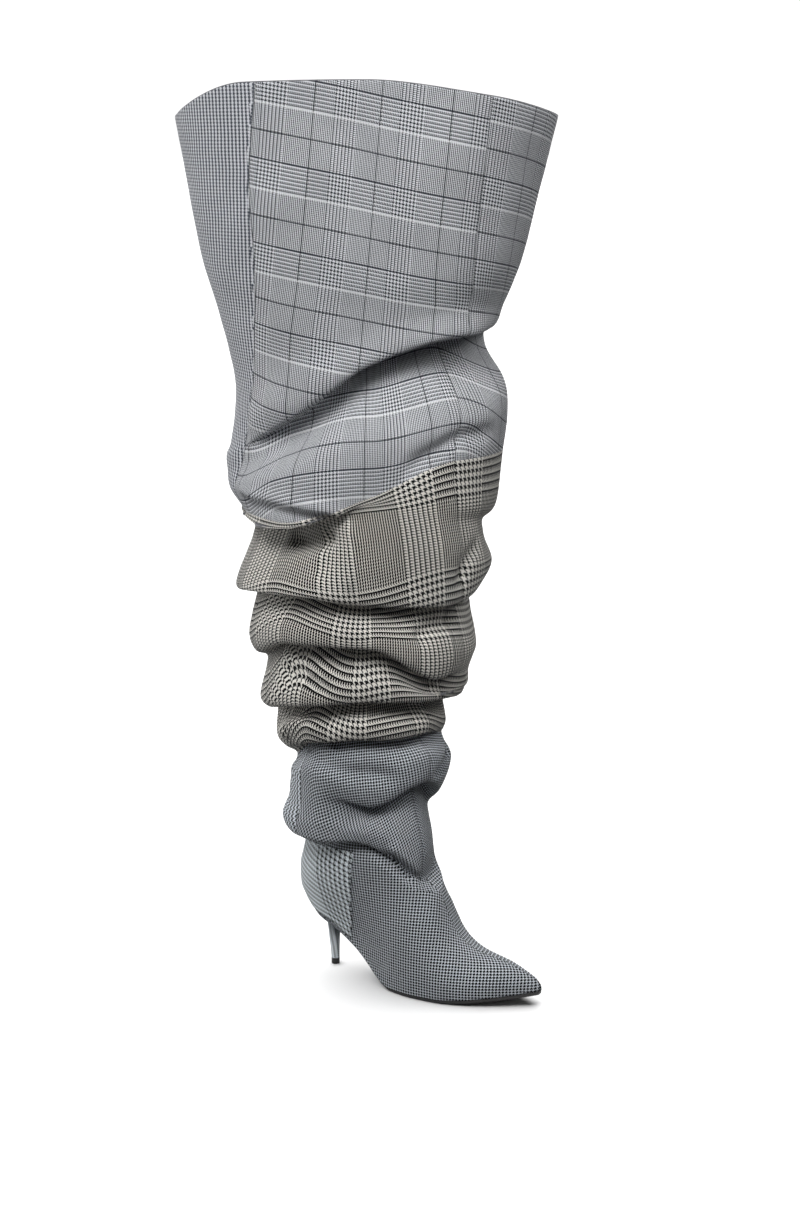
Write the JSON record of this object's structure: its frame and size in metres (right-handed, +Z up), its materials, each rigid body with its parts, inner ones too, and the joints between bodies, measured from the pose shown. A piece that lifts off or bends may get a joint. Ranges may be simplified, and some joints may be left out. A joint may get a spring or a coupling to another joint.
{
  "type": "thigh-high boot",
  "caption": "Thigh-high boot with a pointed toe, a slender heel and a wide slouched shaft of pieced check cloth, open at its flared collar.",
  "frame": {"origin": "on the floor, in the middle of the flat forefoot tread", "axes": "+X towards the toe, +Y towards the inner side of the foot, +Z up along the shaft"},
  "size_m": [0.3355, 0.2829, 0.8441],
  "materials": {
    "sole_leather": "black, edge-inked",
    "heel_cloth": "small check, glued round the heel",
    "tip_rubber": "black, matt",
    "insole_leather": "dark, smooth",
    "puppytooth_cloth": "small puppytooth check",
    "counter_cloth": "coarser check",
    "ecru_cloth": "ecru and black glen check",
    "blue_grey_cloth": "blue-grey glen check with a dark overcheck"
  },
  "bodies": {
    "root": {"outsole": "sole_leather", "heel": "heel_cloth", "top_piece": "tip_rubber", "insole": "insole_leather", "upper": "puppytooth_cloth", "heel_counter": "counter_cloth", "shaft_middle": "ecru_cloth", "shaft_top": "blue_grey_cloth"}
  },
  "joints": []
}
